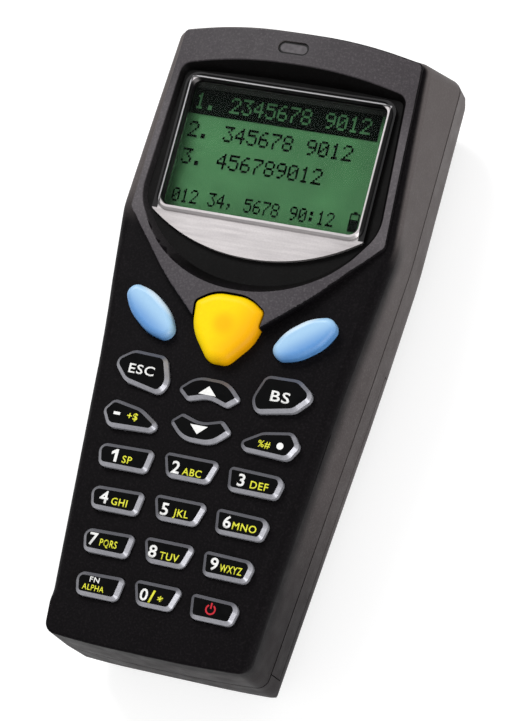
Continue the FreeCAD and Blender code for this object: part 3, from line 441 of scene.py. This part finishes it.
FRONT = case_front()
PLATEAU = plateau_grain()
RECESS = well_black()
BACK = case_back()
KEY_TOP = speckled("key_top_black", linear(4, 4, 5), linear(9, 9, 10), 0.16, 900.0, 0.05, 0.00001,
                   specular=0.08)
KEY_RIM = key_rim()
TRIM = brushed_trim()
WHITE = printed("print_white", linear(250, 250, 248), linear(236, 236, 234))
YELLOW = printed("print_yellow", linear(236, 236, 60), linear(220, 220, 48))
RED = printed("print_red", linear(206, 32, 48), linear(188, 24, 42))
DISPLAY = display_film()
PIXEL = printed("display_pixel", linear(6, 11, 8), linear(10, 16, 12), 0.0)
LENS = clear_pane("window_clear", (0.97, 0.985, 0.975, 1.0), ior=1.15)
SCAN_PANE = clear_pane("window_red", (0.32, 0.02, 0.035, 1.0), 0.06)
SMOKE = status_smoke()
BOARD = speckled("board_green", linear(18, 74, 42), linear(26, 92, 54), 0.42, 500.0, 0.3, 0.00003)
RUBBER = speckled("mat_rubber", linear(46, 46, 48), linear(58, 58, 60), 0.7, 900.0, 0.3, 0.00005)
FILM = speckled("film", linear(190, 186, 172), linear(206, 202, 190), 0.4, 600.0, 0.1, 0.00002)
CHIP = speckled("chip_black", linear(30, 30, 31), linear(42, 42, 43), 0.55, 1600.0, 0.4, 0.00003)
STEEL = speckled("steel", linear(158, 158, 160), linear(182, 182, 184), 0.3, 900.0, 0.2, 0.00002,
                 metallic=1.0)
SCREW = speckled("screw_steel", linear(92, 92, 95), linear(118, 118, 120), 0.34, 1200.0, 0.2, 0.00002,
                 metallic=1.0)
WRAP = speckled("cell_wrap", linear(40, 48, 66), linear(52, 60, 80), 0.35, 500.0, 0.1, 0.00002)
GUIDE = speckled("guide_white", linear(214, 218, 214), linear(228, 231, 228), 0.35, 400.0, 0.1,
                 0.00002)


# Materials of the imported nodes

def dress(name, *materials):
    slots = nodes[name].data.materials
    slots.clear()
    for material in materials:
        slots.append(material)


# Places along the dark field round the display, and half its width there, in millimetres
WELL = ((9.6, 7.0), (12.2, 13.2), (16.4, 18.9), (24.4, 24.4), (56.5, 23.1))


def well_half_width(y):
    """Half the width of the dark field at a place along it; 0 beyond its ends."""
    for (y0, w0), (y1, w1) in zip(WELL, WELL[1:]):
        if y0 <= y <= y1:
            return w0 + (w1 - w0) * (y - y0) / (y1 - y0)
    return 0.0


def front_kind(polygon):
    """Material of a front housing polygon: 0 face and walls, 1 plateau, 2 dark field."""
    x, y, z = (value / MM for value in polygon.center)
    up = polygon.normal.z
    plateau_top = PLATEAU_TOP - x * x / PLATEAU_FALL
    face_top = FACE_TOP - x * x / FACE_FALL
    if up > 0.85 and abs(z - plateau_top) < 0.12 and z > face_top + 0.05:
        return 1
    if abs(x) < well_half_width(y) and z < plateau_top - 0.1 and up > -0.5:
        return 2
    return 0


dress("front_housing", FRONT, PLATEAU, RECESS)
for polygon in nodes["front_housing"].data.polygons:
    polygon.material_index = front_kind(polygon)

PLAIN = {
    "display_trim": TRIM, "display_lens": LENS, "lcd_panel": DISPLAY, "lcd_backlight": GUIDE,
    "status_light_lens": SMOKE, "main_board": BOARD, "dome_sheet": FILM, "keypad_mat": RUBBER,
    "processor_chip": CHIP, "memory_chips": CHIP, "shield_can": STEEL, "backup_cell": STEEL,
    "engine_socket": FILM, "rear_housing": BACK, "scan_window": SCAN_PANE, "battery_cover": BACK,
    "battery_cell_left": WRAP, "battery_cell_right": WRAP, "battery_springs": STEEL,
    "battery_contacts": STEEL, "engine_bracket": STEEL, "scan_engine": CHIP, "buzzer": CHIP,
    "port_window": SCAN_PANE, "port_transceiver": CHIP, "housing_screws": SCREW,
    "key_scan": scan_yellow(), "key_oval_left": oval_blue("blue_left", -15.4, -0.68),
    "key_oval_right": oval_blue("blue_right", 15.4, 0.78),
}
for name, material in PLAIN.items():
    dress(name, material)
for name in nodes:
    if name.startswith("key_") and name not in PLAIN:
        dress(name, KEY_RIM, KEY_TOP)
        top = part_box(name)[1][2]
        for polygon in nodes[name].data.polygons:
            on_top = polygon.normal.z > 0.99 and polygon.center.z > top - 0.0001
            polygon.material_index = 1 if on_top else 0


# Printed legends: thin inked plates just above the key tops, in metres

INK_GAP = 0.00002
INK_THICKNESS = 0.00003


def add_piece(name, mesh, body):
    piece = bpy.data.objects.new(name, mesh)
    scene.collection.objects.link(piece)
    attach(piece, body)
    return piece


def text_mesh(words, height, bold, width):
    """Flat mesh of a word, centred on the origin, of the given height in millimetres."""
    curve = bpy.data.curves.new("word", "FONT")
    curve.body = words
    curve.align_x = "CENTER"
    curve.align_y = "CENTER"
    curve.size = 1.0
    curve.offset = bold
    curve.space_character = 1.1
    curve.resolution_u = 3
    holder = bpy.data.objects.new("word", curve)
    scene.collection.objects.link(holder)
    bpy.context.view_layer.update()
    evaluated = holder.evaluated_get(bpy.context.evaluated_depsgraph_get())
    mesh = bpy.data.meshes.new_from_object(evaluated)
    bpy.data.objects.remove(holder)
    tall = max(v.co.y for v in mesh.vertices) - min(v.co.y for v in mesh.vertices)
    middle_x = (max(v.co.x for v in mesh.vertices) + min(v.co.x for v in mesh.vertices)) / 2
    middle_y = (max(v.co.y for v in mesh.vertices) + min(v.co.y for v in mesh.vertices)) / 2
    scale = height / tall * MM
    for vertex in mesh.vertices:
        vertex.co.x = (vertex.co.x - middle_x) * scale * width
        vertex.co.y = (vertex.co.y - middle_y) * scale
    return mesh


def shape_mesh(polygons):
    """Flat mesh of polygons given in millimetres."""
    mesh = bpy.data.meshes.new("shape")
    points, faces = [], []
    for polygon in polygons:
        start = len(points)
        points += [(x * MM, y * MM, 0.0) for x, y in polygon]
        faces.append(range(start, start + len(polygon)))
    mesh.from_pydata(points, [], [list(face) for face in faces])
    return mesh


def ring(radius, width, start, stop, count=20):
    """Quads of an open ring from one angle to another, in degrees."""
    angles = [math.radians(start + (stop - start) * i / count) for i in range(count + 1)]
    rims = [[(r * math.cos(a), r * math.sin(a)) for a in angles]
            for r in (radius - width / 2, radius + width / 2)]
    return [[rims[0][i], rims[0][i + 1], rims[1][i + 1], rims[1][i]] for i in range(count)]


def legend(key, marks):
    """One printed piece on a key: marks are (mesh, x, y, material)."""
    body = key[4:] + "_key"
    if key[4:].isdigit():
        body = "digit_" + body
    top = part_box(key)[1][2] + INK_GAP
    built = bmesh.new()
    palette = []
    for mesh, x, y, material in marks:
        if material not in palette:
            palette.append(material)
        first = len(built.faces)
        mesh.transform(Matrix.Translation((x * MM, y * MM, top)))
        built.from_mesh(mesh)
        built.faces.ensure_lookup_table()
        for face in built.faces[first:]:
            face.material_index = palette.index(material)
    lifted = bmesh.ops.extrude_face_region(built, geom=list(built.faces))
    for item in lifted["geom"]:
        if isinstance(item, bmesh.types.BMVert):
            item.co.z += INK_THICKNESS
    bmesh.ops.recalc_face_normals(built, faces=list(built.faces))
    made = bpy.data.meshes.new(key + "_legend")
    built.to_mesh(made)
    built.free()
    for material in palette:
        made.materials.append(material)
    add_piece(key + "_legend", made, body)


def word(words, height, x, y, material, bold, width):
    """A mark for legend: a word with a stroke weight and a stretch across."""
    return (text_mesh(words, height, bold, width), x, y, material)


# Middle of each row of number keys; places of a digit and its letters across, and the letters'
# height and stretch
ROWS = {"123": -26.8, "456": -34.9, "789": -43.0}
LETTERS = {
    "1": (-14.75, "SP", -12.1, 1.42, 1.0), "2": (-2.45, "ABC", 0.85, 1.42, 0.94),
    "3": (10.5, "DEF", 14.1, 1.42, 1.0), "4": (-14.55, "GHI", -11.4, 1.42, 0.94),
    "5": (-2.45, "JKL", 0.8, 1.85, 0.95), "6": (9.9, "MNO", 13.35, 1.42, 1.0),
    "7": (-14.45, "PQRS", -11.35, 1.65, 0.72), "8": (-2.6, "TUV", 0.75, 1.42, 0.94),
    "9": (9.5, "WXYZ", 12.85, 1.42, 0.68),
}
ONE = [(0.08, -1.22), (0.64, -1.22), (0.64, 1.22), (0.22, 1.22), (-0.6, 0.62), (-0.6, 0.08),
       (0.08, 0.46)]
for digits, middle in ROWS.items():
    for digit in digits:
        digit_x, letters, letters_x, tall, stretch = LETTERS[digit]
        if digit == "1":
            figure = (shape_mesh([ONE]), digit_x, middle + 0.05, WHITE)
        else:
            figure = word(digit, 2.4, digit_x, middle + 0.05, WHITE, 0.02, 1.05)
        legend("key_" + digit, [
            figure, word(letters, tall, letters_x, middle - 0.4, YELLOW, 0.013, stretch),
        ])
legend("key_0", [
    word("0", 2.3, -2.1, -51.1, WHITE, 0.018, 1.05),
    word("/", 2.4, -0.55, -51.15, YELLOW, 0.03, 1.0),
    word("*", 1.1, 1.15, -51.3, YELLOW, 0.02, 1.1),
])
legend("key_function", [
    word("FN", 1.0, -12.1, -50.35, WHITE, 0.014, 1.15),
    word("ALPHA", 1.1, -12.0, -51.85, YELLOW, 0.012, 0.84),
])
power_stem = [(-0.15, 0.15), (0.15, 0.15), (0.15, 1.25), (-0.15, 1.25)]
legend("key_power", [(shape_mesh(ring(0.86, 0.3, 122, 418) + [power_stem]), 11.0, -51.25, RED)])
legend("key_escape", [word("ESC", 1.85, -13.95, -9.85, WHITE, 0.014, 1.2)])
legend("key_backspace", [word("BS", 2.1, 13.75, -10.1, WHITE, 0.014, 1.3)])
dash = [(-0.65, -0.28), (0.65, -0.28), (0.65, 0.28), (-0.65, 0.28)]
legend("key_minus", [
    (shape_mesh([dash]), -16.45, -18.85, WHITE),
    word("+$", 1.6, -13.3, -19.0, YELLOW, 0.022, 1.0),
])
dot_angles = [math.radians(angle) for angle in range(0, 360, 18)]
dot = [(0.66 * math.cos(angle), 0.66 * math.sin(angle)) for angle in dot_angles]
legend("key_point", [
    word("%#", 1.45, 13.0, -19.4, YELLOW, 0.012, 1.0),
    (shape_mesh([dot]), 16.05, -19.15, WHITE),
])
arrow_up = [(-1.75, -0.75), (1.75, -0.75), (0.0, 0.95)]
arrow_down = [(-1.75, 0.75), (0.0, -0.95), (1.75, 0.75)]
legend("key_up", [(shape_mesh([arrow_up]), -0.15, -11.5, WHITE)])
legend("key_down", [(shape_mesh([arrow_down]), -0.15, -18.95, WHITE)])


# Display content: a film under the window with plain figures made of dots

DOTS = {
    "0": "01110 10001 10011 10101 11001 10001 01110",
    "1": "00100 01100 00100 00100 00100 00100 01110",
    "2": "01110 10001 00001 00010 00100 01000 11111",
    "3": "11111 00010 00100 00010 00001 10001 01110",
    "4": "00010 00110 01010 10010 11111 00010 00010",
    "5": "11111 10000 11110 00001 00001 10001 01110",
    "6": "00110 01000 10000 11110 10001 10001 01110",
    "7": "11111 00001 00010 00100 01000 01000 01000",
    "8": "01110 10001 10001 01110 10001 10001 01110",
    "9": "01110 10001 10001 01111 00001 00010 01100",
    ".": "00000 00000 00000 00000 00000 01100 01100",
    ",": "00000 00000 00000 00000 01100 00100 01000",
    ":": "00000 01100 01100 00000 01100 01100 00000",
    " ": "00000 00000 00000 00000 00000 00000 00000",
}


# Pitch of the characters, and width and height of a dot, in millimetres
LARGE = (2.41, 0.4, 0.46)
SMALL = (1.84, 0.3, 0.4)
# Height of the dots over the film, in metres
DOT_LIFT = 0.00012


def dot_runs(text, left, middle, face, inverse=False):
    """Rectangles of the dots in a line of text, each run of dots along a row joined."""
    pitch, dot_width, dot_height = face
    runs = []
    for place, letter in enumerate(text):
        centre = left + pitch * place
        for row, bits in enumerate(DOTS[letter].split()):
            top = middle + (3.5 - row) * dot_height
            column = 0
            while column < 5:
                wanted = "0" if inverse else "1"
                if bits[column] != wanted:
                    column += 1
                    continue
                end = column
                while end < 5 and bits[end] == wanted:
                    end += 1
                runs.append((centre + (column - 2.5) * dot_width, top - dot_height,
                             centre + (end - 2.5) * dot_width, top))
                column = end
    return runs


def bar_with_gaps(text, left, middle, face, x0, x1, y0, y1):
    """A dark bar from which the text is left out."""
    pitch, dot_width, dot_height = face
    runs = dot_runs(text, left, middle, face, inverse=True)
    low, high = middle - 3.5 * dot_height, middle + 3.5 * dot_height
    runs += [(x0, y0, x1, low), (x0, high, x1, y1)]
    edges = [x0]
    for place in range(len(text)):
        centre = left + pitch * place
        edges += [centre - 2.5 * dot_width, centre + 2.5 * dot_width]
    edges.append(x1)
    for i in range(0, len(edges), 2):
        runs.append((edges[i], low, edges[i + 1], high))
    return runs


def plate(name, rectangles, z, material):
    """A flat piece of the case made of (x0, y0, x1, y1) rectangles at one height."""
    mesh = shape_mesh([[(a, b), (c, b), (c, d), (a, d)] for a, b, c, d in rectangles])
    mesh.transform(Matrix.Translation((0, 0, z)))
    mesh.materials.append(material)
    return add_piece(name, mesh, "case")


panel_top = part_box("lcd_panel")[1][2]
lens_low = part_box("display_lens")[0][2]
film_height = panel_top + (lens_low - panel_top) * 0.4
plate("display_film", [(-19.8, 23.1, 19.8, 49.1)], film_height, DISPLAY)
rows = bar_with_gaps("1. 2345678 9012", -18.3, 45.6, LARGE, -19.75, 18.2, 42.9, 48.2)
rows += dot_runs("2. 345678 9012", -18.2, 39.75, LARGE)
rows += dot_runs("3. 456789012", -18.1, 34.2, LARGE)
rows += dot_runs("012 34, 5678 90:12", -18.2, 26.3, SMALL)
# Battery sign, half full
rows += [(16.75, 24.6, 18.6, 27.0), (16.75, 27.0, 16.95, 28.0), (18.4, 27.0, 18.6, 28.0),
         (16.75, 28.0, 18.6, 28.25), (17.3, 28.25, 18.05, 28.6)]
plate("display_figures", rows, film_height + DOT_LIFT, PIXEL)


# Floor, lamps and world

def floor_material():
    """White paper for the camera and for reflections, which still takes the object's shadow."""
    made = Shader("floor_white", 0.9)
    cloud = made.ramp(made.noise(6.0, 3.0), 0.3, 0.7)
    made.color(made.mix(cloud, (0.60, 0.60, 0.60, 1.0), (0.62, 0.62, 0.62, 1.0)))
    glow = made.node("ShaderNodeEmission")
    path = made.node("ShaderNodeLightPath")
    seen = made.math("MAXIMUM", path.outputs["Is Camera Ray"], path.outputs["Is Glossy Ray"])
    seen = made.math("MAXIMUM", seen, path.outputs["Is Transmission Ray"])
    made.link(made.times(seen, 0.62), glow.inputs["Strength"])
    total = made.node("ShaderNodeAddShader")
    made.link(made.main.outputs[0], total.inputs[0])
    made.link(glow.outputs[0], total.inputs[1])
    made.link(total.outputs[0], made.tree.nodes["Material Output"].inputs["Surface"])
    return made.material


floor_mesh = bpy.data.meshes.new("floor")
floor_grid = bmesh.new()
bmesh.ops.create_grid(floor_grid, x_segments=1, y_segments=1, size=4)
floor_grid.to_mesh(floor_mesh)
floor_grid.free()
floor = bpy.data.objects.new("floor", floor_mesh)
scene.collection.objects.link(floor)
floor_mesh.materials.append(floor_material())


def lamp(name, place, size, power):
    data = bpy.data.lights.new(name, "AREA")
    data.shape = "RECTANGLE"
    data.size, data.size_y = size
    data.energy = power
    made = bpy.data.objects.new(name, data)
    scene.collection.objects.link(made)
    made.location = place
    made.rotation_euler = (-Vector(place)).to_track_quat("-Z", "Y").to_euler()


lamp("main_lamp", (-0.55, 0.75, 0.85), (0.5, 0.5), 9.0)
lamp("side_lamp", (0.85, -0.45, 0.42), (0.5, 0.7), 5.0)
world = bpy.data.worlds.new("world")
scene.world = world
world.use_nodes = True
background = world.node_tree.nodes["Background"]
background.inputs["Color"].default_value = (1, 1, 1, 1)
background.inputs["Strength"].default_value = 0.55
scene.view_settings.view_transform = "Standard"
